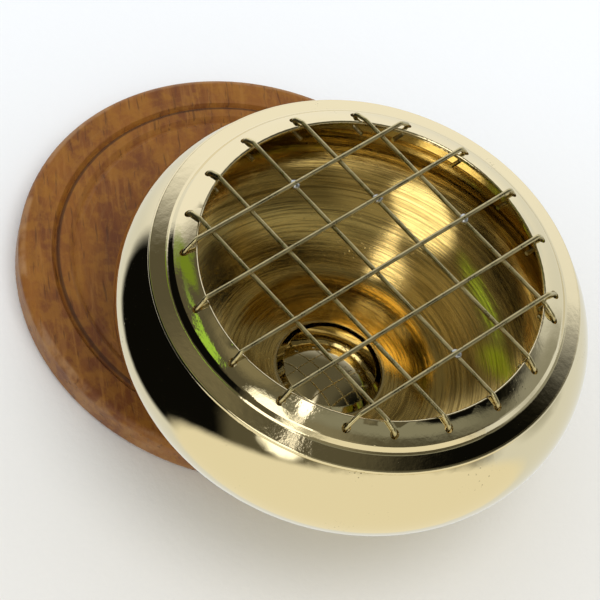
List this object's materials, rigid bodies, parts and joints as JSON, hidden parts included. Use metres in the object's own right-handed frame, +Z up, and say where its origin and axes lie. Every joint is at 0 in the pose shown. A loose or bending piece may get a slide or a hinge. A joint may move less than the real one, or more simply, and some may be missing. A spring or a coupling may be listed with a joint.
{
  "type": "screen charcoal burner",
  "caption": "Squat polished brass charcoal burner bowl with a lift-off ring lid strung with a wire screen, standing on a turned wooden coaster.",
  "frame": {"origin": "centre of the coaster's flat underside", "axes": "+Z up, out of the bowl's mouth; +X from the coaster's centre towards the burner's axis"},
  "size_m": [0.1, 0.077, 0.0385],
  "materials": {
    "polished_brass": "mirror-polished spun sheet",
    "brass_wire": "drawn wire, slightly dulled",
    "turned_wood": "worn reddish-brown stain",
    "solder": "grey tin solder"
  },
  "bodies": {
    "coaster_body": {"coaster": "turned_wood"},
    "bowl_body": {"bowl": "polished_brass"},
    "lid_body": {"lid_ring": "polished_brass", "upper_wire_1": "brass_wire", "upper_wire_2": "brass_wire", "upper_wire_3": "brass_wire", "upper_wire_4": "brass_wire", "upper_wire_5": "brass_wire", "lower_wire_1": "brass_wire", "lower_wire_2": "brass_wire", "lower_wire_3": "brass_wire", "lower_wire_4": "brass_wire", "lower_wire_5": "brass_wire", "solder_tacks": "solder"}
  },
  "joints": [
    {"name": "bowl_shift", "type": "slide", "parent": "coaster_body", "child": "bowl_body", "axis": [-1, 0, 0], "range_m": [0, 0.0235]},
    {"name": "lid_lift", "type": "slide", "parent": "bowl_body", "child": "lid_body", "axis": [0, 0, 1], "range_m": [0, 0.03]}
  ]
}
